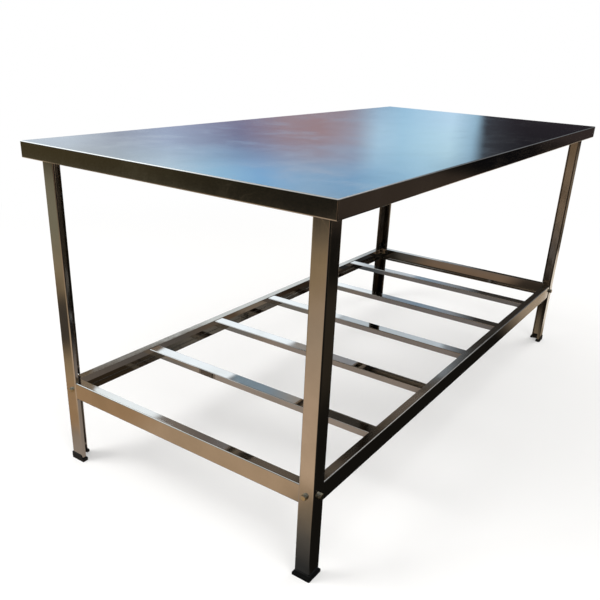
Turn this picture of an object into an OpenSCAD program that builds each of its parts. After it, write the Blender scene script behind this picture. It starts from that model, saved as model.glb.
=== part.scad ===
// Stainless work table: a folded sheet worktop on four lipped angle legs, with a
// slatted lower shelf. The legs stand in plastic shoes, and two frames of mitred
// channel are bolted inside the leg angles, one under the worktop and one around the
// shelf. The legs' lips are notched where the frames pass.
// The origin is on the floor under the middle of the worktop. +X runs along the
// length, +Y to the back and +Z up. All sizes are in millimetres.

/* [Worktop] */
// Length of the worktop
top_l = 1900; // [1200:10:2400]
// Width of the worktop
top_w = 900; // [600:10:1100]
// Height of the work surface above the floor
top_z = 900; // [800:5:950]
// Height of the edge folded down all round
edge_h = 40; // [36:1:60]
// Thickness of the worktop sheet
top_t = 1.2; // [0.8:0.1:1.5]
// Outer radius of the worktop folds
top_fold_r = 2.5; // [2:0.1:5]
// Outer radius of the dressed welds on the worktop's corners
top_corner_r = 2; // [1.6:0.1:5]
// Width of the lip turned in under the edge
lip_w = 12; // [8:1:18]

/* [Legs] */
// Width of each flange of the leg angle
leg_w = 42; // [38:1:60]
// Thickness of the leg angle
leg_t = 2; // [1:0.1:3]
// Outer radius of the folds in the leg angle
leg_fold_r = 4; // [3.2:0.1:8]
// Depth of the lips turned in along the flanges' free edges
leg_lip = 12; // [9:0.5:14]
// Gap above and below a frame where the lips are notched for it
notch_gap = 3; // [1:0.5:10]
// Distance from the worktop's edge in to the leg's outer faces
leg_inset = 32; // [25:1:80]

/* [Shoes] */
// Thickness of plastic between the leg's end and the floor
shoe_floor = 5; // [3:0.5:8]
// Height of the shoe's outer walls
shoe_h = 18; // [14:0.5:30]
// Thickness of the shoe's outer walls
shoe_wall = 2.5; // [1.5:0.1:4]
// Height of the shoe's inner walls
shoe_inner_h = 15; // [12:0.5:28]
// Thickness of the shoe's inner walls
shoe_inner_wall = 7; // [3:0.5:10]
// Height of the closed ends that hold the leg's lips
shoe_end_h = 10; // [9:0.5:12]
// Length of the closed ends past the leg's lips
shoe_end = 4.5; // [3:0.5:8]
// Radius on the top of the closed ends
shoe_end_r = 3; // [1:0.5:4]
// Radius on the free top corners of the walls
shoe_wall_r = 8; // [2:0.5:11]
// Radius on the shoe's outer corner
shoe_corner_r = 4; // [1:0.5:5]
// Clearance between the leg and the shoe's walls
shoe_fit = 0.2; // [0.1:0.05:0.4]

/* [Frames] */
// Thickness of the frame channels
rail_t = 1.5; // [1:0.1:2.5]
// Outer radius of the folds in the frame channels
rail_fold_r = 3; // [2.6:0.1:4]
// Height of the channels under the worktop
upper_rail_h = 34; // [28:1:38]
// Depth of the channels under the worktop
upper_rail_w = 25; // [20:1:40]
// Height of the shelf frame's channels
lower_rail_h = 50; // [40:1:70]
// Depth of the shelf frame's channels
lower_rail_w = 25; // [20:1:40]
// Height of the shelf frame's top face above the floor
shelf_z = 255; // [150:5:400]

/* [Shelf slats] */
// Width of each slat
slat_w = 40; // [25:1:80]
// Height of each slat's folded sides
slat_h = 18; // [10:1:25]
// Thickness of the slats
slat_t = 1.2; // [0.8:0.1:2]
// Outer radius of the slats' folds
slat_fold_r = 2.4; // [2.1:0.1:5]

/* [Worktop stiffeners] */
// Width of the stiffener's channel
stiffener_w = 50; // [30:1:100]
// Depth of the stiffener below the worktop sheet
stiffener_h = 30; // [20:1:36]
// Width of the flanges bonded to the worktop sheet
stiffener_flange = 18; // [10:1:30]
// Thickness of the stiffener
stiffener_t = 1.2; // [0.8:0.1:2]
// Outer radius of the stiffener's folds
stiffener_fold_r = 2.4; // [2.1:0.1:5]

/* [Fasteners] */
// Diameter of the bolts
bolt_d = 8; // [6:0.5:9]
// Distance from the leg's outer corner to the bolts
bolt_from_corner = 24; // [21:0.5:28]
// Radial clearance of the bolt holes
hole_gap = 0.5; // [0.2:0.05:0.8]
// Width of the bolt head and the nut across their flats
hex_af = 13; // [12:0.5:15]
// Height of the bolt head
head_h = 5.3; // [4:0.1:7]
// Chamfer around the top of the bolt head and the nut
hex_chamfer = 0.8; // [0.3:0.1:1.2]
// Height of the nut
nut_h = 6.5; // [5:0.1:8]
// Length of thread that stands past the nut
thread_end = 2; // [0.5:0.1:3]
// Radial clearance between the bolt and the nut
thread_gap = 0.05; // [0.02:0.01:0.1]
// Outer diameter of the washer
washer_d = 16; // [15:0.5:22]
// Thickness of the washer
washer_t = 1.6; // [0.8:0.1:2]
// Radial clearance between the bolt and the washer
washer_gap = 0.2; // [0.1:0.05:0.4]

/* [Hidden] */

$fn = 48;

// Colours of the finishes
steel = [0.62, 0.60, 0.57];
bright_steel = [0.75, 0.80, 0.85];
dull_steel = [0.45, 0.44, 0.42];
zinc = [0.70, 0.70, 0.68];
plastic = [0.06, 0.06, 0.06];

// Underside of the worktop sheet, where the legs and the upper frame end
sheet_z = top_z - top_t;
// Outer faces of the legs, from the middle of the table
leg_x = top_l / 2 - leg_inset;
leg_y = top_w / 2 - leg_inset;
// Outer faces of both frames, which lie against the inside of the leg angles
frame_x = leg_x - leg_t;
frame_y = leg_y - leg_t;
// Middle height of each frame, where its bolts pass
upper_bolt_z = sheet_z - upper_rail_h / 2;
shelf_bolt_z = shelf_z - lower_rail_h / 2;
// Distance from a frame's corner to the bolts
bolt_from_frame = bolt_from_corner - leg_t;
// Thickness that a bolt clamps
grip = leg_t + rail_t;
// Slats lie under the top flange of the shelf frame, with equal gaps between them
slat_count = 5;
slat_z = shelf_z - rail_t - slat_h;
slat_l = 2 * (frame_y - rail_fold_r);
shelf_inner_x = frame_x - lower_rail_w;
slat_gap = (2 * shelf_inner_x - slat_count * slat_w) / (slat_count + 1);
// Stiffeners divide the upper frame into equal bays
stiffener_count = 3;
stiffener_l = 2 * (frame_y - upper_rail_w);
stiffener_pitch = 2 * frame_x / (stiffener_count + 1);
// Cutting bodies reach this far past the face they cut
past = 1;

// Rectangle from the origin with the named corners rounded, in the order
// bottom left, bottom right, top right, top left
module soft_rect(w, h, r, soft) {
    corners = [[0, 0], [w, 0], [w, h], [0, h]];
    centres = [[r, r], [w - r, r], [w - r, h - r], [r, h - r]];
    translate([r, 0]) square([w - 2 * r, h]);
    translate([0, r]) square([w, h - 2 * r]);
    for (i = [0:3]) {
        if (soft[i]) translate(centres[i]) circle(r);
        else translate((corners[i] + centres[i]) / 2) square(r, center = true);
    }
}

// Section of a channel with its web at x = 0, open towards +X
module channel_section(w, h, t, r) {
    difference() {
        soft_rect(w, h, r, [true, false, false, true]);
        translate([t, t]) soft_rect(w, h - 2 * t, r - t, [true, false, false, true]);
    }
}

// Channel along X with its outer face at y = 0 and its open side towards +Y. Both
// ends are mitred, and a bolt hole goes through the web near each end.
module mitred_rail(l, w, h) {
    difference() {
        intersection() {
            translate([-l / 2, 0, 0]) rotate([90, 0, 90])
                linear_extrude(l) channel_section(w, h, rail_t, rail_fold_r);
            translate([0, 0, -past]) linear_extrude(h + 2 * past)
                polygon([[-l / 2, 0], [l / 2, 0], [l / 2 - w, w], [-l / 2 + w, w]]);
        }
        for (side = [-1, 1])
            translate([side * (l / 2 - bolt_from_frame), -past, h / 2]) rotate([-90, 0, 0])
                cylinder(r = bolt_d / 2 + hole_gap, h = rail_t + 2 * past);
    }
}

// Long rail of a frame: side -1 is the front and 1 the back
module long_rail(side, w, h, z) {
    translate([0, side * frame_y, z]) rotate(side > 0 ? 180 : 0) mitred_rail(2 * frame_x, w, h);
}

// End rail of a frame: side -1 is the left and 1 the right
module end_rail(side, w, h, z) {
    translate([side * frame_x, 0, z]) rotate(side * 90) mitred_rail(2 * frame_y, w, h);
}

// Places what is drawn for a leg corner: the leg's outer corner is the origin, and
// its flanges run along +X and +Y. Each side is -1 or 1.
module at_corner(side_x, side_y) {
    translate([side_x * leg_x, side_y * leg_y, 0])
        mirror([side_x > 0 ? 1 : 0, 0, 0]) mirror([0, side_y > 0 ? 1 : 0, 0]) children();
}

// Places children at both bolts of one corner, with +Z out of the leg's face
module at_corner_bolts(z) {
    translate([0, bolt_from_corner, z]) rotate([0, -90, 0]) children();
    translate([bolt_from_corner, 0, z]) rotate([90, 0, 0]) children();
}

// Places children at all eight bolts of one frame
module at_frame_bolts(z) {
    for (side_x = [-1, 1], side_y = [-1, 1])
        at_corner(side_x, side_y) at_corner_bolts(z) children();
}

// Shallow box whose long edges are folded at radius r and whose upright corners are
// dressed at radius corner_r
module folded_block(l, w, h, r, corner_r) {
    all_round = [true, true, true, true];
    intersection() {
        translate([-l / 2, 0, 0]) rotate([90, 0, 90])
            linear_extrude(l) translate([-w / 2, 0]) soft_rect(w, h, r, all_round);
        translate([0, w / 2, 0]) rotate([90, 0, 0])
            linear_extrude(w) translate([-l / 2, 0]) soft_rect(l, h, r, all_round);
        linear_extrude(h) translate([-l / 2, -w / 2]) soft_rect(l, w, corner_r, all_round);
    }
}

// Worktop: one sheet folded down on four sides, with a lip turned in below and the
// corners welded along their mitres and dressed round
module worktop() {
    color(bright_steel) translate([0, 0, top_z - edge_h]) difference() {
        folded_block(top_l, top_w, edge_h, top_fold_r, top_corner_r);
        translate([0, 0, top_t]) folded_block(top_l - 2 * top_t, top_w - 2 * top_t,
            edge_h - 2 * top_t, top_fold_r - top_t, top_corner_r - top_t);
        translate([-top_l / 2 + lip_w, -top_w / 2 + lip_w, -past])
            cube([top_l - 2 * lip_w, top_w - 2 * lip_w, top_t + 2 * past]);
    }
}

// Stiffener: a hat section across the table, bonded to the sheet between the long
// upper rails. The number counts from the left.
module stiffener(i) {
    full_w = stiffener_w + 2 * stiffener_flange;
    color(dull_steel) translate([-frame_x + i * stiffener_pitch, stiffener_l / 2, sheet_z - stiffener_h])
        rotate([90, 0, 0]) linear_extrude(stiffener_l) difference() {
            union() {
                translate([-stiffener_w / 2, 0])
                    soft_rect(stiffener_w, stiffener_h, stiffener_fold_r, [true, true, false, false]);
                translate([-full_w / 2, stiffener_h - stiffener_t]) square([full_w, stiffener_t]);
            }
            translate([-stiffener_w / 2 + stiffener_t, stiffener_t])
                soft_rect(stiffener_w - 2 * stiffener_t, stiffener_h,
                    stiffener_fold_r - stiffener_t, [true, true, false, false]);
        }
}

// Places children for both flanges of a leg corner: along +X, and mirrored along +Y
module at_both_flanges() {
    children();
    mirror([1, -1, 0]) children();
}

// Section of the leg: an angle with its corner at the origin and a lip turned in
// along the free edge of each flange
module leg_section() {
    inner_w = leg_w - 2 * leg_t;
    folds = [true, true, false, true];
    difference() {
        soft_rect(leg_w, leg_w, leg_fold_r, folds);
        translate([leg_t, leg_t]) soft_rect(inner_w, inner_w, leg_fold_r - leg_t, folds);
        translate([leg_lip, leg_lip]) square(leg_w);
    }
}

// Cuts the lips back to the flanges along a frame of that height
module lip_notches(frame_z, frame_h) {
    at_both_flanges() translate([leg_w - leg_fold_r, leg_t, frame_z - notch_gap])
        cube([leg_fold_r + past, leg_lip - leg_t + past, frame_h + 2 * notch_gap]);
}

// Leg: a folded, lipped angle that stands in its shoe and reaches the worktop sheet
module leg(side_x, side_y) {
    color(steel) at_corner(side_x, side_y) difference() {
        translate([0, 0, shoe_floor]) linear_extrude(sheet_z - shoe_floor) leg_section();
        lip_notches(shelf_z - lower_rail_h, lower_rail_h);
        lip_notches(sheet_z - upper_rail_h, upper_rail_h);
        for (z = [shelf_bolt_z, upper_bolt_z]) at_corner_bolts(z)
            translate([0, 0, -leg_t - past]) cylinder(r = bolt_d / 2 + hole_gap, h = leg_t + 2 * past);
    }
}

// Upright slab of the shoe along +X, between two lengths and two depths, with its
// free top corner rounded
module shoe_slab(x_from, x_to, y_from, y_to, h, r) {
    translate([x_from, y_to, 0]) rotate([90, 0, 0])
        linear_extrude(y_to - y_from) soft_rect(x_to - x_from, h, r, [false, false, true, false]);
}

// One arm of the shoe, along +X: the closed base, the block around the leg's lip at
// its end, and the walls on both sides of the leg's flange
module shoe_arm() {
    arm_w = leg_t + shoe_inner_wall;
    shoe_slab(-shoe_wall, leg_w + shoe_end, -shoe_wall, arm_w, shoe_end_h, shoe_end_r);
    shoe_slab(leg_w - leg_t - shoe_wall, leg_w + shoe_end, -shoe_wall, leg_lip + shoe_wall,
        shoe_end_h, shoe_end_r);
    shoe_slab(-shoe_wall, leg_w, -shoe_wall, leg_t, shoe_h, shoe_wall_r);
    shoe_slab(-shoe_wall, leg_w, leg_t / 2, arm_w, shoe_inner_h, shoe_wall_r);
}

// Shoe: a moulded plastic angle that caps the end of a leg, with a slot for each
// flange and its lip
module shoe(side_x, side_y) {
    slot_w = leg_t + 2 * shoe_fit;
    outer_l = leg_w + shoe_wall + shoe_end;
    color(plastic) at_corner(side_x, side_y) difference() {
        intersection() {
            at_both_flanges() shoe_arm();
            translate([-shoe_wall, -shoe_wall, 0]) linear_extrude(shoe_h)
                soft_rect(outer_l, outer_l, shoe_corner_r, [true, false, false, false]);
        }
        at_both_flanges() translate([-shoe_fit, -shoe_fit, shoe_floor]) {
            cube([leg_w + 2 * shoe_fit, slot_w, shoe_h]);
            translate([leg_w - leg_t, 0, 0]) cube([slot_w, leg_lip + 2 * shoe_fit, shoe_h]);
        }
    }
}

// Slat: an inverted channel across the shelf. The number counts from the left.
module slat(i) {
    x = -shelf_inner_x + slat_gap + slat_w / 2 + (i - 1) * (slat_w + slat_gap);
    color(bright_steel) translate([x - slat_w / 2, slat_l / 2, slat_z]) rotate([90, 0, 0])
        linear_extrude(slat_l) difference() {
            soft_rect(slat_w, slat_h, slat_fold_r, [false, false, true, true]);
            translate([slat_t, -slat_t])
                soft_rect(slat_w - 2 * slat_t, slat_h, slat_fold_r - slat_t, [false, false, true, true]);
        }
}

// Hexagon from z = 0 upwards with its top corners chamfered
module hexagon(h) {
    r = hex_af / 2 / cos(30);
    intersection() {
        cylinder(r = r, h = h, $fn = 6);
        union() {
            cylinder(r = r + past, h = h - hex_chamfer);
            translate([0, 0, h - hex_chamfer]) cylinder(r1 = r, r2 = r - 2 * hex_chamfer, h = hex_chamfer);
        }
    }
}

// Bolt with its head outside the washer
module bolt() {
    reach = grip + nut_h + thread_end;
    translate([0, 0, washer_t]) hexagon(head_h);
    translate([0, 0, -reach]) cylinder(d = bolt_d, h = reach + washer_t + head_h / 2);
}

// Washer between the bolt's head and the leg
module washer() {
    difference() {
        cylinder(d = washer_d, h = washer_t);
        translate([0, 0, -past]) cylinder(r = bolt_d / 2 + washer_gap, h = washer_t + 2 * past);
    }
}

// Nut against the inside of the rail
module nut() {
    translate([0, 0, -grip]) mirror([0, 0, 1]) difference() {
        hexagon(nut_h);
        translate([0, 0, -past]) cylinder(r = bolt_d / 2 + thread_gap, h = nut_h + 2 * past);
    }
}

// All bolts, washers and nuts of one frame
module frame_bolts(z) {
    color(zinc) at_frame_bolts(z) bolt();
}

module frame_washers(z) {
    color(zinc) at_frame_bolts(z) washer();
}

module frame_nuts(z) {
    color(zinc) at_frame_bolts(z) nut();
}

module upper_long_rail(side) {
    color(dull_steel) long_rail(side, upper_rail_w, upper_rail_h, sheet_z - upper_rail_h);
}

module upper_end_rail(side) {
    color(dull_steel) end_rail(side, upper_rail_w, upper_rail_h, sheet_z - upper_rail_h);
}

module shelf_long_rail(side) {
    color(steel) long_rail(side, lower_rail_w, lower_rail_h, shelf_z - lower_rail_h);
}

module shelf_end_rail(side) {
    color(steel) end_rail(side, lower_rail_w, lower_rail_h, shelf_z - lower_rail_h);
}

worktop();
stiffener(1);  // stiffener_left
stiffener(2);  // stiffener_middle
stiffener(3);  // stiffener_right
upper_long_rail(-1);  // upper_rail_front
upper_long_rail(1);  // upper_rail_back
upper_end_rail(-1);  // upper_rail_left
upper_end_rail(1);  // upper_rail_right
frame_bolts(upper_bolt_z);  // upper_bolts
frame_washers(upper_bolt_z);  // upper_washers
frame_nuts(upper_bolt_z);  // upper_nuts
leg(-1, -1);  // leg_front_left
leg(1, -1);  // leg_front_right
leg(-1, 1);  // leg_back_left
leg(1, 1);  // leg_back_right
shoe(-1, -1);  // shoe_front_left
shoe(1, -1);  // shoe_front_right
shoe(-1, 1);  // shoe_back_left
shoe(1, 1);  // shoe_back_right
shelf_long_rail(-1);  // shelf_rail_front
shelf_long_rail(1);  // shelf_rail_back
shelf_end_rail(-1);  // shelf_rail_left
shelf_end_rail(1);  // shelf_rail_right
slat(1);  // slat_1
slat(2);  // slat_2
slat(3);  // slat_3
slat(4);  // slat_4
slat(5);  // slat_5
frame_bolts(shelf_bolt_z);  // shelf_bolts
frame_washers(shelf_bolt_z);  // shelf_washers
frame_nuts(shelf_bolt_z);  // shelf_nuts
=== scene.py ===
"""Stainless work table: a folded sheet worktop on four lipped angle legs, with a slatted
shelf between them.

The script follows the table as it is put together, from the worktop down to the
shelf and its bolts, and then sets the studio around it.
"""
import math
import bpy
from mathutils import Matrix, Vector

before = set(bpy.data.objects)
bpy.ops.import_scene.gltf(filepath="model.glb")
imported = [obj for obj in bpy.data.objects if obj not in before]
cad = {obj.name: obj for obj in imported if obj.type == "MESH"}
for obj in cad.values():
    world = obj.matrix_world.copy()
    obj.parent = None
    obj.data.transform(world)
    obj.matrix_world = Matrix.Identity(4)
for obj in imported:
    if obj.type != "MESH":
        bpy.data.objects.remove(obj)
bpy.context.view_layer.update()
bpy.ops.object.select_all(action="DESELECT")


# ---------------------------------------------------------------------------
# Worktop: one 1.2 mm sheet of 304 stainless, folded down on four sides with a
# lip turned in below. It leaves the mill cold rolled and bright (2B), and its
# corners are TIG welded and dressed with a fine disc.
# ---------------------------------------------------------------------------
MM = 0.001
MM_IN_METRE = 1000


def linear(hex_colour):
    """Turns an sRGB hex colour to linear RGBA."""
    channels = [int(hex_colour[i:i + 2], 16) / 255 for i in (1, 3, 5)]
    return [c / 12.92 if c <= 0.04045 else ((c + 0.055) / 1.055) ** 2.4 for c in channels] + [1.0]


def node(tree, kind, inputs=None, stops=None, **settings):
    """Adds one node, with its settings, the colour stops of a ramp, and its inputs by
    name or number: another node's socket is linked, and anything else is a value. A Map
    Range takes input 0 from the range 1 to 2 to the range 3 to 4."""
    made = tree.nodes.new(kind)
    for name, value in settings.items():
        setattr(made, name, value)
    for name, value in (inputs or {}).items():
        if isinstance(value, bpy.types.NodeSocket):
            tree.links.new(value, made.inputs[name])
        else:
            made.inputs[name].default_value = value
    if stops:
        points = made.color_ramp.elements
        while len(points) < len(stops):
            points.new(1.0)
        for point, (position, colour) in zip(points, stops):
            point.position = position
            point.color = linear(colour)
    return made


def blank_finish(name):
    """An empty material of that name, with its node tree and its output."""
    material = bpy.data.materials.new(name)
    material.use_nodes = True
    tree = material.node_tree
    tree.nodes.clear()
    return material, tree, tree.nodes.new("ShaderNodeOutputMaterial")


def stainless(name, tint, roll_axis, dullness, grain_mm, haze_mm, haze, wave_mm, wave_depth_mm,
              scuffs, bow=0.0):
    """Bare stainless sheet, in two shades of tint. Dullness is its roughness where it is
    clean. Rolling leaves faint lines along roll_axis, handling leaves hazy patches and
    light scuffs, rougher by haze and by scuffs, and the thin sheet never lies quite flat.
    A bow turns upright faces down by that slope."""
    material, tree, out = blank_finish(name)
    place = node(tree, "ShaderNodeTexCoord").outputs["Object"]

    # Rolling lines, 60 times as long as they are wide
    fineness = [MM_IN_METRE / grain_mm] * 3
    fineness[roll_axis] = MM_IN_METRE / (60 * grain_mm)
    rolled = node(tree, "ShaderNodeMapping", {"Vector": place, "Scale": fineness}).outputs[0]
    grain = node(tree, "ShaderNodeTexNoise", {"Vector": rolled, "Scale": 1.0, "Detail": 3.0,
                                              "Roughness": 0.55}).outputs["Fac"]
    line_depth = 0.25 * dullness
    lines = node(tree, "ShaderNodeMapRange",
                 {0: grain, 1: 0.3, 2: 0.7, 3: -line_depth, 4: line_depth}).outputs[0]

    # Hazy patches, which are also a little paler
    patches = node(tree, "ShaderNodeTexNoise", {"Vector": place, "Scale": MM_IN_METRE / haze_mm,
                                                "Detail": 4.0, "Roughness": 0.6}).outputs["Fac"]
    patch = node(tree, "ShaderNodeMapRange", {0: patches, 1: 0.45, 2: 0.72, 3: 0.0, 4: haze},
                 interpolation_type="SMOOTHSTEP").outputs[0]
    shade = node(tree, "ShaderNodeValToRGB", {0: patches},
                 stops=[(0.35, tint[0]), (0.65, tint[1])]).outputs[0]

    # Light scuffs: contour lines of a noise 200 mm across, kept only in places 110 mm apart
    slow = node(tree, "ShaderNodeTexNoise", {"Vector": place, "Scale": MM_IN_METRE / 200, "Detail": 1.0,
                                             "Distortion": 1.5}).outputs["Fac"]
    ridge = node(tree, "ShaderNodeMath", {0: slow, 1: 0.5}, operation="SUBTRACT").outputs[0]
    ridge = node(tree, "ShaderNodeMath", {0: ridge}, operation="ABSOLUTE").outputs[0]
    thin = node(tree, "ShaderNodeMapRange", {0: ridge, 1: 0.0, 2: 0.004, 3: 1.0, 4: 0.0}).outputs[0]
    where = node(tree, "ShaderNodeTexNoise", {"Vector": place, "Scale": 9.0, "Detail": 0.0}).outputs["Fac"]
    where = node(tree, "ShaderNodeMapRange", {0: where, 1: 0.56, 2: 0.68, 3: 0.0, 4: scuffs}).outputs[0]
    scuff = node(tree, "ShaderNodeMath", {0: thin, 1: where}, operation="MULTIPLY").outputs[0]

    rough = node(tree, "ShaderNodeMath", {0: patch, 1: dullness}, operation="ADD").outputs[0]
    rough = node(tree, "ShaderNodeMath", {0: rough, 1: lines}, operation="ADD").outputs[0]
    rough = node(tree, "ShaderNodeMath", {0: rough, 1: scuff}, operation="ADD").outputs[0]

    # The sheet's waves and its bow bend the images in it, and the lines blur them
    wave = node(tree, "ShaderNodeTexNoise", {"Vector": place, "Scale": MM_IN_METRE / wave_mm,
                                             "Detail": 1.0}).outputs["Fac"]
    height = node(tree, "ShaderNodeSeparateXYZ", {0: place}).outputs["Z"]
    height = node(tree, "ShaderNodeMath", {0: height, 1: bow}, operation="MULTIPLY").outputs[0]
    height = node(tree, "ShaderNodeMath", {0: wave, 1: wave_depth_mm * MM, 2: height},
                  operation="MULTIPLY_ADD").outputs[0]
    waved = node(tree, "ShaderNodeBump", {"Height": height, "Distance": 1.0, "Strength": 1.0}).outputs[0]
    relief = node(tree, "ShaderNodeBump", {"Height": grain, "Distance": 0.04 * dullness * MM,
                                           "Strength": 1.0, "Normal": waved}).outputs[0]
    steel = node(tree, "ShaderNodeBsdfPrincipled", {"Base Color": shade, "Metallic": 1.0,
                                                    "Roughness": rough, "Normal": relief})
    tree.links.new(steel.outputs[0], out.inputs["Surface"])
    return material


def dress(names, material):
    """Gives the CAD nodes of these names their finish."""
    for name in names:
        for part in cad[name].material_slots:
            part.material = material


# 2B sheet is a soft mirror: the yard and the sky show in it in blurred, wavy fields.
# It is rolled along the table's length. Rolling lines are a few hundredths of a
# millimetre apart, so here and on the other sheets they are drawn 2 to 3 mm apart to show.
dress(["worktop"],
      stainless("stainless_2b_worktop", ("#CBC8C3", "#D6D4D0"), roll_axis=0, dullness=0.10, grain_mm=3,
                haze_mm=140, haze=0.05, wave_mm=420, wave_depth_mm=0.9, scuffs=0.05))


# ---------------------------------------------------------------------------
# Stiffeners and upper frame: hat sections bonded under the sheet, and mitred
# channels bolted to the legs, all pressed from 2D offcuts. They are seen only
# from below and, small, in the bright steel of the shelf.
# ---------------------------------------------------------------------------
stiffeners = ["stiffener_left", "stiffener_middle", "stiffener_right"]
upper_rails = ["upper_rail_front", "upper_rail_back", "upper_rail_left", "upper_rail_right"]
# 2D sheet is rolled and descaled but not brightened, so it is pale, dull and even
dress(stiffeners + upper_rails,
      stainless("stainless_2d_under", ("#E2E4E6", "#EAECEE"), roll_axis=1, dullness=0.45, grain_mm=2.5,
                haze_mm=90, haze=0.12, wave_mm=300, wave_depth_mm=0.2, scuffs=0.3))


# ---------------------------------------------------------------------------
# Legs: 42 mm lipped angles folded from 2 mm stainless, with the grain running up.
# The lips are notched where the frames pass, and the frames bolt to the angles.
# ---------------------------------------------------------------------------
# Folded 2B sheet mirrors the yard in long upright streaks
dress(["leg_front_left", "leg_back_left"],
      stainless("stainless_folded_leg", ("#C6C3BD", "#D2CFCA"), roll_axis=2, dullness=0.12, grain_mm=2,
                haze_mm=110, haze=0.06, wave_mm=350, wave_depth_mm=0.12, scuffs=0.10))
# The right legs are bowed a little, 25 mm in a metre, and are of slightly duller sheets. Their darker tints
# are painted shade, deepest on the back right leg
dress(["leg_front_right"],
      stainless("stainless_folded_leg_dull_shaded", ("#A6A29A", "#B2AEA6"), roll_axis=2, dullness=0.14, grain_mm=2,
                haze_mm=110, haze=0.06, wave_mm=350, wave_depth_mm=0.10, scuffs=0.06, bow=0.025))
dress(["leg_back_right"],
      stainless("stainless_folded_leg_deep_shaded", ("#8A867F", "#96928B"), roll_axis=2, dullness=0.14, grain_mm=2,
                haze_mm=110, haze=0.06, wave_mm=350, wave_depth_mm=0.10, scuffs=0.06, bow=0.025))


# ---------------------------------------------------------------------------
# Shoes: black polypropylene caps, injection moulded with a slot for each flange
# and lip of the angle, and pushed on the leg ends.
# ---------------------------------------------------------------------------
def moulded_black(name):
    """Black polypropylene: a dark, slightly waxy skin with a fine spark-eroded grain, which
    greys in the lowest 3 mm, where it rubs the floor. The grain is a tenth of a millimetre
    and is drawn 0.7 mm wide to show. The dust lies in specks 8 mm apart."""
    material, tree, out = blank_finish(name)
    place = node(tree, "ShaderNodeTexCoord").outputs["Object"]
    grain = node(tree, "ShaderNodeTexNoise",
                 {"Vector": place, "Scale": 1500.0, "Detail": 2.0}).outputs["Fac"]
    height = node(tree, "ShaderNodeSeparateXYZ", {0: place}).outputs["Z"]
    rub = node(tree, "ShaderNodeMapRange", {0: height, 1: 0.0, 2: 3 * MM, 3: 1.0, 4: 0.0}).outputs[0]
    dust = node(tree, "ShaderNodeTexNoise", {"Vector": place, "Scale": 120.0, "Detail": 4.0}).outputs["Fac"]
    dust = node(tree, "ShaderNodeMapRange", {0: dust, 1: 0.45, 2: 0.7, 3: 0.0, 4: 1.0}).outputs[0]
    worn = node(tree, "ShaderNodeMath", {0: rub, 1: dust}, operation="MULTIPLY").outputs[0]
    colour = node(tree, "ShaderNodeValToRGB", {0: worn},
                  stops=[(0.0, "#080808"), (1.0, "#262422")]).outputs[0]
    relief = node(tree, "ShaderNodeBump",
                  {"Height": grain, "Distance": 0.05 * MM, "Strength": 0.6}).outputs[0]
    plastic = node(tree, "ShaderNodeBsdfPrincipled", {"Base Color": colour, "Roughness": 0.62,
                                                      "IOR": 1.49, "Normal": relief})
    tree.links.new(plastic.outputs[0], out.inputs["Surface"])
    return material


dress(["shoe_front_left", "shoe_front_right", "shoe_back_left", "shoe_back_right"],
      moulded_black("polypropylene_black_moulded"))


# ---------------------------------------------------------------------------
# Shelf frame: 50 x 25 mm channels pressed from 1.5 mm stainless, mitred and
# welded at the corners, with the grain running along each rail.
# ---------------------------------------------------------------------------
# Brighter 2B sheet than the worktop's, so the ground shows in it with firmer edges
dress(["shelf_rail_front"],
      stainless("stainless_pressed_long_rail", ("#C4C1BB", "#D0CDC8"), roll_axis=0, dullness=0.08, grain_mm=2,
                haze_mm=120, haze=0.04, wave_mm=300, wave_depth_mm=0.08, scuffs=0.12))
# The back rail's darker tint is painted shade, about as dark as that of the right legs
dress(["shelf_rail_back"],
      stainless("stainless_pressed_shaded_rail", ("#9E9A92", "#A9A59D"), roll_axis=0, dullness=0.06, grain_mm=2,
                haze_mm=120, haze=0.04, wave_mm=300, wave_depth_mm=0.08, scuffs=0.12))
dress(["shelf_rail_left", "shelf_rail_right"],
      stainless("stainless_pressed_end_rail", ("#CAC7C1", "#D4D1CC"), roll_axis=1, dullness=0.035, grain_mm=2,
                haze_mm=120, haze=0.03, wave_mm=300, wave_depth_mm=0.05, scuffs=0.12))


# ---------------------------------------------------------------------------
# Slats: inverted channels of 1.2 mm bright annealed stainless, tucked under the
# frame's top flanges and tacked to it.
# ---------------------------------------------------------------------------
# Annealed in clean gas after rolling, the sheet is nearly a mirror, with sharp images
dress(["slat_1", "slat_2", "slat_3", "slat_4", "slat_5"],
      stainless("stainless_bright_slat", ("#CDCBC7", "#D6D4D1"), roll_axis=1, dullness=0.022, grain_mm=2,
                haze_mm=90, haze=0.02, wave_mm=260, wave_depth_mm=0.05, scuffs=0.08))


# ---------------------------------------------------------------------------
# Fasteners: M8 hexagon bolts, plain washers and nuts in zinc-plated steel. Two
# bolts hold each frame to each leg, with the heads outside and the nuts inside.
# ---------------------------------------------------------------------------
def zinc_plate(name):
    """Zinc-plated steel, thinly passivated and aged: a fine crystalline satin that drifts
    from grey to straw over 11 mm. The crystals are some hundredths of a millimetre and
    are drawn 0.7 mm wide to show."""
    material, tree, out = blank_finish(name)
    place = node(tree, "ShaderNodeTexCoord").outputs["Object"]
    drift = node(tree, "ShaderNodeTexNoise", {"Vector": place, "Scale": 90.0, "Detail": 2.0}).outputs["Fac"]
    crystal = node(tree, "ShaderNodeTexNoise",
                   {"Vector": place, "Scale": 1400.0, "Detail": 3.0}).outputs["Fac"]
    colour = node(tree, "ShaderNodeValToRGB", {0: drift},
                  stops=[(0.35, "#C6BFAE"), (0.5, "#D0C6AE"), (0.65, "#D8CAA6")]).outputs[0]
    rough = node(tree, "ShaderNodeMapRange", {0: crystal, 1: 0.3, 2: 0.7, 3: 0.26, 4: 0.38}).outputs[0]
    plate = node(tree, "ShaderNodeBsdfPrincipled",
                 {"Base Color": colour, "Metallic": 1.0, "Roughness": rough})
    tree.links.new(plate.outputs[0], out.inputs["Surface"])
    return material


dress(["upper_bolts", "upper_washers", "upper_nuts", "shelf_bolts", "shelf_washers", "shelf_nuts"],
      zinc_plate("zinc_plated_steel"))


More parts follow.
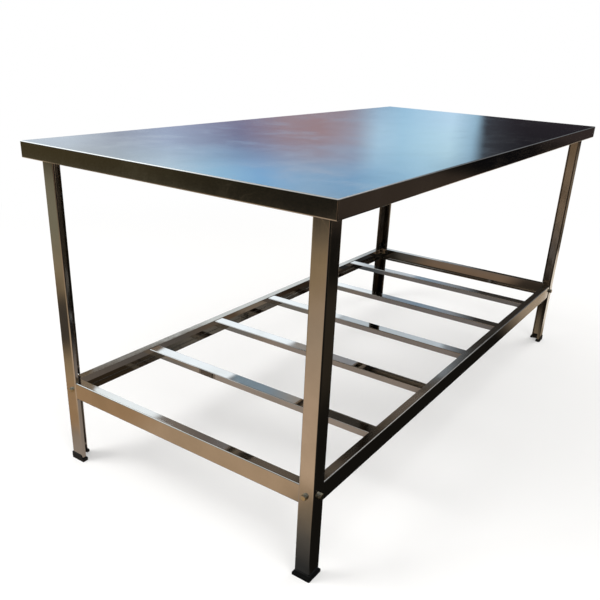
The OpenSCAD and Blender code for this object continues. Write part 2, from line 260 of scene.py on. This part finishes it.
# ---------------------------------------------------------------------------
# Studio floor: plain and pale. It keeps the table's shadow and fades into the
# white world between 1.2 and 3.4 m out. The steel doesn't mirror it.
# ---------------------------------------------------------------------------
def stage_plane(name, side, height, material):
    """A square plane that isn't part of the table."""
    bpy.ops.mesh.primitive_plane_add(size=side, location=(0, 0, height))
    plane = bpy.context.object
    plane.name = name
    plane.data.materials.append(material)
    return plane


pale, tree, out = blank_finish("studio_floor_pale")
spot = node(tree, "ShaderNodeTexCoord").outputs["Object"]
radius = node(tree, "ShaderNodeVectorMath", {0: spot}, operation="LENGTH").outputs["Value"]
# Even close in, the floor is lifted three tenths of the way to white
fade = node(tree, "ShaderNodeMapRange", {0: radius, 1: 1.2, 2: 3.4, 3: 0.3, 4: 1.0},
            interpolation_type="SMOOTHSTEP").outputs[0]
matt = node(tree, "ShaderNodeBsdfDiffuse", {"Color": linear("#F4F3F1")}).outputs[0]
white = node(tree, "ShaderNodeEmission", {"Color": linear("#FFFFFF"), "Strength": 1.0}).outputs[0]
seen = node(tree, "ShaderNodeLightPath").outputs["Is Camera Ray"]
fade = node(tree, "ShaderNodeMath", {0: fade, 1: seen}, operation="MULTIPLY").outputs[0]
mixed = node(tree, "ShaderNodeMixShader", {0: fade, 1: matt, 2: white}).outputs[0]
tree.links.new(mixed, out.inputs["Surface"])
floor = stage_plane("studio_floor", side=80, height=0, material=pale)
floor.visible_glossy = False


# ---------------------------------------------------------------------------
# Yard: bare earth that shows only in the steel, glowing with painted light. It is
# sunlit round the table, with painted shade of the table and of trees on it, and a hedge on the left.
# ---------------------------------------------------------------------------
def only_in_reflections(piece):
    """Leaves a stage piece to glossy rays alone."""
    piece.visible_camera = False
    piece.visible_diffuse = False
    piece.visible_transmission = False
    piece.visible_volume_scatter = False
    piece.visible_shadow = False


def glaring(hex_colour, times):
    """A linear colour, so many times as bright as the hex says."""
    return [times * channel for channel in linear(hex_colour)[:3]] + [1.0]


def painted(tree, colour, layers):
    """Lays colours over a first one. Each layer is its colour and then its limits: a
    value, and the two marks between which it goes smoothly from outside to inside."""
    for over, *limits in layers:
        inside = 1.0
        for value, outside, within in limits:
            step = node(tree, "ShaderNodeMapRange", {0: value, 1: outside, 2: within, 3: 0.0, 4: 1.0},
                        interpolation_type="SMOOTHSTEP").outputs[0]
            inside = node(tree, "ShaderNodeMath", {0: inside, 1: step}, operation="MULTIPLY").outputs[0]
        over = linear(over) if isinstance(over, str) else over
        colour = node(tree, "ShaderNodeMix", {0: inside, 6: colour, 7: over}, data_type="RGBA").outputs[2]
    return colour


# Places are in metres from the middle of the table, with +X to its right and +Y behind it
earth, tree, out = blank_finish("yard_earth_sun_and_shade")
spot = node(tree, "ShaderNodeTexCoord").outputs["Object"]
axes = node(tree, "ShaderNodeSeparateXYZ", {0: spot})
x, y = axes.outputs["X"], axes.outputs["Y"]
across = node(tree, "ShaderNodeMath", {0: y}, operation="ABSOLUTE").outputs[0]

# Sunlit earth by its distance from the table: warm close to it, and dim past 4 m
sun_reach = 8.0
radius = node(tree, "ShaderNodeVectorMath", {0: spot}, operation="LENGTH").outputs["Value"]
ring = node(tree, "ShaderNodeMath", {0: radius, 1: sun_reach}, operation="DIVIDE").outputs[0]
rings = [(0.96, "#D0B398"), (1.28, "#D5B89B"), (1.52, "#CBAF94"), (2.16, "#B49F88"), (2.72, "#B49B84"),
         (3.52, "#96806F"), (4.0, "#4A4038"), (6.4, "#2C2A26")]
sunlit = node(tree, "ShaderNodeValToRGB", {0: ring},
              stops=[(metres / sun_reach, colour) for metres, colour in rings]).outputs[0]
# The middle of a painted shadow off the back left corner
shadow_middle = (-1.56, 1.30, 0)
patch = node(tree, "ShaderNodeVectorMath", {0: spot, 1: shadow_middle},
             operation="DISTANCE").outputs["Value"]

# The hedge's foot runs slanting along the yard's left side
skew = node(tree, "ShaderNodeMath", {0: y, 1: -1.1, 2: x}, operation="MULTIPLY_ADD").outputs[0]
side = node(tree, "ShaderNodeMath", {0: x, 1: -1.65}, operation="ADD").outputs[0]
skew = node(tree, "ShaderNodeMath", {0: skew, 1: side}, operation="MAXIMUM").outputs[0]
hedge = painted(tree, linear("#1C1B17"), [("#483F2A", (y, 1.5, 5.5))])

# The front right leg mirrors one lane of the yard and the back right leg another
lane_front = node(tree, "ShaderNodeMath", {0: x, 1: 0.22, 2: y}, operation="MULTIPLY_ADD").outputs[0]
lane_back = node(tree, "ShaderNodeMath", {0: x, 1: 0.505, 2: y}, operation="MULTIPLY_ADD").outputs[0]
# A strip of the front lane glares half as bright again as white paper
glare = glaring("#F2E9DE", 1.5)

# The grey earth that the near foot stands on darkens towards it in painted shade
foot = node(tree, "ShaderNodeMapRange", {0: x, 1: -1.14, 2: -0.94, 3: 0.0, 4: 1.0}).outputs[0]
foot_shade_earth = node(tree, "ShaderNodeValToRGB", {0: foot},
                  stops=[(0.0, "#8E7E6A"), (0.5, "#615C56"), (0.93, "#393939")]).outputs[0]

# Light under the table falls off from left to right
dimmer = node(tree, "ShaderNodeMapRange", {0: x, 1: -1.0, 2: 1.0, 3: 0.0, 4: 1.0}).outputs[0]
dim_earth = node(tree, "ShaderNodeValToRGB", {0: dimmer},
                 stops=[(0.0, "#A89A8E"), (0.12, "#9A8D83"), (0.3, "#807976"), (0.46, "#787370"),
                        (0.6, "#86705D"), (0.7, "#6A5A4C"), (0.85, "#3F3329"), (1.0, "#4C3F33")]).outputs[0]

# The table's shade falls to the front and ends in a slanting line on the right. It is
# lighter around 3.4 m to the right, darkest past 5 m, and lighter again past 8 m. Past
# the trees' shade the sunlit yard ends on the right in a steeper line.
lean = node(tree, "ShaderNodeMath", {0: y, 1: 1.3, 2: x}, operation="MULTIPLY_ADD").outputs[0]
steep = node(tree, "ShaderNodeMath", {0: x, 1: 1.4, 2: y}, operation="MULTIPLY_ADD").outputs[0]
apart = node(tree, "ShaderNodeMath", {0: x, 1: 3.4}, operation="SUBTRACT").outputs[0]
apart = node(tree, "ShaderNodeMath", {0: apart}, operation="ABSOLUTE").outputs[0]
shaded = painted(tree, linear("#191714"), [
    ("#3D342D", (apart, 1.6, 1.1)),
    ("#0D0D0F", (x, 4.9, 5.6)),
    ("#38302E", (x, 7.6, 9.2)),
])

ground = painted(tree, sunlit, [
    # Behind the table the yard is greyer and duller, with a painted shadow off the back left corner
    ("#A48C6C", (y, 0.35, 0.9)),
    ("#8A8470", (y, 1.3, 2.6)),
    ("#4E463C", (patch, 0.50, 0.20)),
    ("#4A433C", (patch, 0.30, 0.10)),
    # Plainer earth from the table's left end rightwards, with strips of other earth behind it
    ("#BFA385", (x, -1.26, -1.20), (y, -0.45, -0.25)),
    ("#B08F6C", (x, -1.26, -1.20), (y, 0.30, 0.50), (y, 1.0, 0.8)),
    ("#7E7A74", (x, -1.04, -0.97), (x, 0.9, 0.5), (y, 0.36, 0.62), (y, 1.0, 0.8)),
    ("#5A6066", (x, -0.28, -0.12), (x, 0.3, 0.0), (y, 0.40, 0.64), (y, 1.0, 0.8)),
    ("#EADCCB", (x, -1.10, -0.95), (x, -0.50, -0.65), (y, 0.82, 0.92), (y, 1.35, 1.20)),
    # Left of the table, at the hedge
    ("#6A5F50", (x, -2.9, -3.6), (y, 0.7, 1.2), (y, 2.6, 2.0)),
    (hedge, (skew, -5.0, -5.7)),
    ("#AC8C70", (x, -4.2, -4.8), (y, -0.5, 0.0), (y, 1.5, 1.2)),
    # Under the table, with a light fleck and a fleck of painted shade
    (dim_earth, (x, -1.12, -1.0), (x, 1.15, 1.0), (across, 0.62, 0.42)),
    ("#A89A8C", (x, 0.24, 0.34), (x, 0.55, 0.45), (y, -0.04, 0.02), (y, 0.16, 0.10)),
    ("#3A322B", (x, -0.2, 0.2), (x, 0.75, 0.6), (y, 0.02, -0.12)),
    # Behind the right end, in painted shade, with a dark lane of painted shade that the back right leg
    # mirrors
    ("#3C362F", (x, -0.4, 0.5), (x, 1.5, 1.1), (y, 0.38, 0.62), (y, 1.3, 1.0)),
    ("#857A70", (x, 0.6, 0.8), (x, 1.4, 1.2), (y, 0.75, 0.85)),
    ("#2A2622", (x, -1.95, -1.7), (x, 1.1, 0.9), (lane_back, 0.72, 0.80), (lane_back, 1.02, 0.93)),
    ("#45423E", (x, 1.2, 1.3), (y, 0.5, 0.65), (y, 1.4, 1.2)),
    ("#8E847C", (x, 1.8, 2.05), (y, 0.5, 0.65), (y, 1.9, 1.5)),
    # Beyond the right end: sunlit towards the front, and dark level with the table
    ("#AE9B84", (x, 0.50, 0.75), (y, -1.0, -0.8), (y, 0.0, -0.25)),
    ("#D4C2AC", (x, 1.55, 1.75), (y, -1.0, -0.8), (y, 0.0, -0.25)),
    ("#3C3E40", (x, 1.05, 1.20), (y, -0.30, -0.12), (y, 0.55, 0.40)),
    # In front: the table's shade, the trees' shade past it, the sunlit yard past that,
    # and a dark strip through them all
    (shaded, (x, -1.30, -1.08), (y, -0.12, -0.40), (lean, 0.58, 0.04)),
    (shaded, (x, -1.2, -0.9), (y, -1.1, -1.8)),
    ("#BCA48A", (x, -0.6, 0.2), (y, -1.9, -2.8), (steep, -1.3, -2.0)),
    ("#BCA48A", (x, -5.0, -3.0), (y, -4.6, -5.4), (steep, -1.3, -2.0)),
    ("#322C24", (x, -0.5, -0.2), (x, 1.1, 0.7), (y, -0.8, -0.95)),
    # The lane that the front right leg mirrors
    (glare, (x, 1.00, 1.18), (x, 2.40, 2.25), (lane_front, -0.240, -0.215), (lane_front, -0.12, -0.18)),
    ("#4A4238", (x, 2.30, 2.45), (x, 3.3, 3.1), (lane_front, -0.50, -0.40), (lane_front, 0.0, -0.10)),
    ("#7A6A58", (x, 2.9, 3.2), (x, 8.3, 7.3), (lane_front, -0.50, -0.40), (lane_front, 0.0, -0.10)),
    ("#9A8A78", (x, 4.2, 5.6), (x, 7.4, 6.9), (lane_front, -0.45, -0.35), (lane_front, 0.0, -0.10)),
    # Painted shade off the front left corner, and the near foot's grey earth with its painted shade
    ("#1C1A17", (x, -1.0, -1.2), (y, -0.45, -0.65)),
    (foot_shade_earth, (x, -1.24, -1.12), (x, -0.88, -0.93), (y, -0.48, -0.42), (y, -0.19, -0.27)),
])
glow = node(tree, "ShaderNodeEmission", {"Color": ground, "Strength": 1.0}).outputs[0]
tree.links.new(glow, out.inputs["Surface"])
only_in_reflections(stage_plane("yard_ground", side=120, height=-1 * MM, material=earth))


# ---------------------------------------------------------------------------
# Sky: a dome that shows only in the steel, glowing with painted light. It has a dark wall
# on the right, and then open sky with a roof against it and a canopy above. It is brightest behind the table.
# ---------------------------------------------------------------------------
# Bearing is from +X towards +Y, and rise is above the horizon, both in degrees
air, tree, out = blank_finish("yard_sky")
spot = node(tree, "ShaderNodeTexCoord").outputs["Object"]
aim = node(tree, "ShaderNodeVectorMath", {0: spot}, operation="NORMALIZE").outputs["Vector"]
axes = node(tree, "ShaderNodeSeparateXYZ", {0: aim})
x, y, z = axes.outputs["X"], axes.outputs["Y"], axes.outputs["Z"]
bearing = node(tree, "ShaderNodeMath", {0: y, 1: x}, operation="ARCTAN2").outputs[0]
bearing = node(tree, "ShaderNodeMath", {0: bearing}, operation="DEGREES").outputs[0]
rise = node(tree, "ShaderNodeMath", {0: z}, operation="ARCSINE").outputs[0]
rise = node(tree, "ShaderNodeMath", {0: rise}, operation="DEGREES").outputs[0]

# Behind the table's right half, three bands of sky and the canopy change colour along
# a fan of bearings
fan_start, fan_end = 10, 60
fan = node(tree, "ShaderNodeMapRange", {0: bearing, 1: fan_start, 2: fan_end, 3: 0.0, 4: 1.0}).outputs[0]


def along_fan(*stops):
    """Ramp stops from bearings in the fan."""
    return [((degrees - fan_start) / (fan_end - fan_start), colour) for degrees, colour in stops]


low = node(tree, "ShaderNodeValToRGB", {0: fan}, stops=along_fan(
    (17, "#2C272D"), (19.4, "#3E4048"), (20, "#9CC0D8"), (22, "#C4E3FF"), (26, "#A0CAE8"), (28, "#98B7D4"),
    (31, "#968C98"), (36, "#9E94A0"), (39, "#9490A8"), (45, "#B8B4CC"), (54, "#CED8E4"))).outputs[0]
middle = node(tree, "ShaderNodeValToRGB", {0: fan}, stops=along_fan(
    (16, "#1E1E24"), (19.2, "#383B42"), (20.2, "#A0C6E0"), (22, "#C8EDFF"), (26, "#B2DCF6"), (28, "#BCDEF6"),
    (30, "#A8A4B4"), (33, "#A88688"), (36, "#A4888F"), (40, "#7A7494"), (46, "#A4B2D2"), (50, "#A0A8BC"),
    (54, "#D0DEEE"))).outputs[0]
high = node(tree, "ShaderNodeValToRGB", {0: fan}, stops=along_fan(
    (10, "#323034"), (18.5, "#44464C"), (20, "#8AA8BE"), (24, "#A4D0EE"), (30, "#82B4DE"), (34, "#94C0E6"),
    (38, "#86C0F2"), (42, "#A4D6F8"), (46, "#CCE8FA"), (52, "#BECAD2"), (60, "#DCE6F0"))).outputs[0]
canopy = node(tree, "ShaderNodeValToRGB", {0: fan}, stops=along_fan(
    (10, "#2E2822"), (17.6, "#3C3936"), (20, "#949CA4"), (23, "#8EA4B8"), (29, "#A0A2A8"), (34, "#A49E98"),
    (37, "#90A2B0"), (40, "#8CA0AE"), (41, "#807C7C"), (43, "#746C68"), (46, "#887E76"),
    (60, "#6A625A"))).outputs[0]

# The canopy's edge runs along the table, 38.6 degrees up from it. Depth stays above
# nothing, so that the pitch can be worked out in front of the table too.
depth = node(tree, "ShaderNodeMath", {0: y, 1: 0.001}, operation="MAXIMUM").outputs[0]
pitch = node(tree, "ShaderNodeMath", {0: z, 1: depth}, operation="DIVIDE").outputs[0]
# In the same quarter a roof stands up, a wedge that opens with the bearing
eaves = node(tree, "ShaderNodeMath", {0: bearing, 1: -0.312, 2: rise}, operation="MULTIPLY_ADD").outputs[0]
ridge = node(tree, "ShaderNodeMath", {0: bearing, 1: -0.45, 2: rise}, operation="MULTIPLY_ADD").outputs[0]
# The open sky is half as bright again as white paper, and more towards the sun
bright = glaring("#EAF3FA", 1.5)
sunward = glaring("#EAF3FA", 2.4)

colour = painted(tree, low, [
    (middle, (rise, 5.4, 7.4)),
    (high, (rise, 8.4, 11.0)),
    ("#3E352D", (rise, 12.5, 16.5)),
    (bright, (rise, 13.6, 17.2), (bearing, 19.0, 24.0)),
    ("#D1DCE7", (rise, 13.6, 17.2), (bearing, 19.0, 24.0), (bearing, 30.5, 27.5), (rise, 20.0, 18.5)),
    ("#7C6C5C", (bearing, 42.4, 43.2), (ridge, 3.75, 3.50), (eaves, 9.05, 9.35)),
    # The canopy, with a gap in it
    (canopy, (pitch, 0.792, 0.806), (bearing, 88.0, 80.0)),
    ("#D2DEE8", (bearing, 19.8, 20.6), (bearing, 31.0, 29.5), (rise, 21.2, 21.8), (rise, 24.4, 23.8)),
    # Behind and on to the left: a brown eave, then bright sky over low trees, and dark
    # at the left end
    ("#8E7E6A", (bearing, 53.5, 54.0), (rise, 20.0, 23.0)),
    ("#E6ECF0", (bearing, 60.0, 75.0)),
    (sunward, (bearing, 64.0, 74.0), (bearing, 128.0, 120.0), (rise, 24.0, 30.0), (rise, 50.0, 44.0)),
    ("#5C5A4E", (bearing, 60.0, 75.0), (rise, 12.0, 7.0)),
    ("#4A4239", (bearing, 142.0, 152.0), (rise, 34.0, 28.0)),
    # In front: grey over a dim foot, and dark at the left end, with lighter and browner gaps
    ("#848C94", (bearing, 5.0, -8.0)),
    ("#5A5348", (bearing, 5.0, -8.0), (rise, 9.0, 5.0)),
    ("#1E1D1B", (bearing, -146.0, -152.0), (rise, 34.0, 28.0)),
    ("#BEB4AA", (bearing, -120.0, -130.0), (bearing, -151.0, -147.0), (rise, 12.0, 18.0), (rise, 34.0, 28.0)),
    ("#C8C4C0", (bearing, -18.0, -24.0), (bearing, -49.0, -43.0), (rise, 20.0, 22.0), (rise, 27.0, 25.0)),
    ("#5A524A", (bearing, -18.0, -24.0), (bearing, -48.0, -42.0), (rise, 12.5, 15.5), (rise, 21.5, 20.0)),
    ("#6A5C4C", (bearing, -43.0, -49.0), (bearing, -80.0, -65.0), (rise, 20.0, 24.0), (rise, 34.0, 29.0)),
    ("#F2F6FA", (bearing, 14.0, 8.0), (bearing, -32.0, -24.0), (rise, 25.0, 29.0)),
])
glow = node(tree, "ShaderNodeEmission", {"Color": colour, "Strength": 1.0}).outputs[0]
tree.links.new(glow, out.inputs["Surface"])
bpy.ops.mesh.primitive_uv_sphere_add(segments=48, ring_count=24, radius=50, location=(0, 0, 0))
sky = bpy.context.object
sky.name = "yard_sky_dome"
sky.data.materials.append(air)
only_in_reflections(sky)


# ---------------------------------------------------------------------------
# World and lamps: a white background, and plain soft light from three sides. The
# steel shows neither, because it has the yard and the sky to mirror.
# ---------------------------------------------------------------------------
world = bpy.data.worlds.new("studio_world")
bpy.context.scene.world = world
world.use_nodes = True
tree = world.node_tree
tree.nodes.clear()
path = node(tree, "ShaderNodeLightPath")
shown = path.outputs["Is Camera Ray"]
for kind in ("Is Glossy Ray", "Is Transmission Ray"):
    shown = node(tree, "ShaderNodeMath", {0: shown, 1: path.outputs[kind]}, operation="MAXIMUM").outputs[0]
dim = node(tree, "ShaderNodeBackground", {"Color": linear("#FFFFFF"), "Strength": 0.7}).outputs[0]
white = node(tree, "ShaderNodeBackground", {"Color": linear("#FFFFFF"), "Strength": 1.0}).outputs[0]
mixed = node(tree, "ShaderNodeMixShader", {0: shown, 1: dim, 2: white}).outputs[0]
out = tree.nodes.new("ShaderNodeOutputWorld")
tree.links.new(mixed, out.inputs["Surface"])


def soft_lamp(name, place, side, watts):
    """A square area lamp at place, turned towards the middle of the table."""
    lamp = bpy.data.lights.new(name, "AREA")
    lamp.size = side
    lamp.energy = watts
    holder = bpy.data.objects.new(name, lamp)
    bpy.context.scene.collection.objects.link(holder)
    turn = (Vector((0, 0, 0.4)) - Vector(place)).to_track_quat("-Z", "Y")
    holder.matrix_world = Matrix.Translation(place) @ turn.to_matrix().to_4x4()
    holder.visible_glossy = False


soft_lamp("lamp_key", (-2.6, 2.2, 3.4), side=2.0, watts=110)
soft_lamp("lamp_fill", (-2.2, -3.4, 2.6), side=2.5, watts=80)
soft_lamp("lamp_right", (3.6, -1.2, 2.8), side=2.0, watts=60)


# ---------------------------------------------------------------------------
# Camera: off the front left corner, a metre and a bit from it, and at the height
# of a standing person's chest. It looks down a little and is hardly rolled.
# ---------------------------------------------------------------------------
stand = (-1.9451, -1.0456, 1.1415)
heading, tilt, roll = (math.radians(degrees) for degrees in (-56.644, 66.417, 2.823))
lens = bpy.data.cameras.new("camera")
lens.sensor_width = 36
lens.lens = 40.35
lens.shift_x = -0.0052
lens.shift_y = 0.0636
camera = bpy.data.objects.new("camera", lens)
bpy.context.scene.collection.objects.link(camera)
camera.matrix_world = (Matrix.Translation(stand) @ Matrix.Rotation(heading, 4, "Z")
                       @ Matrix.Rotation(tilt, 4, "X") @ Matrix.Rotation(roll, 4, "Z"))
bpy.context.scene.camera = camera
bpy.context.scene.view_settings.view_transform = "Standard"
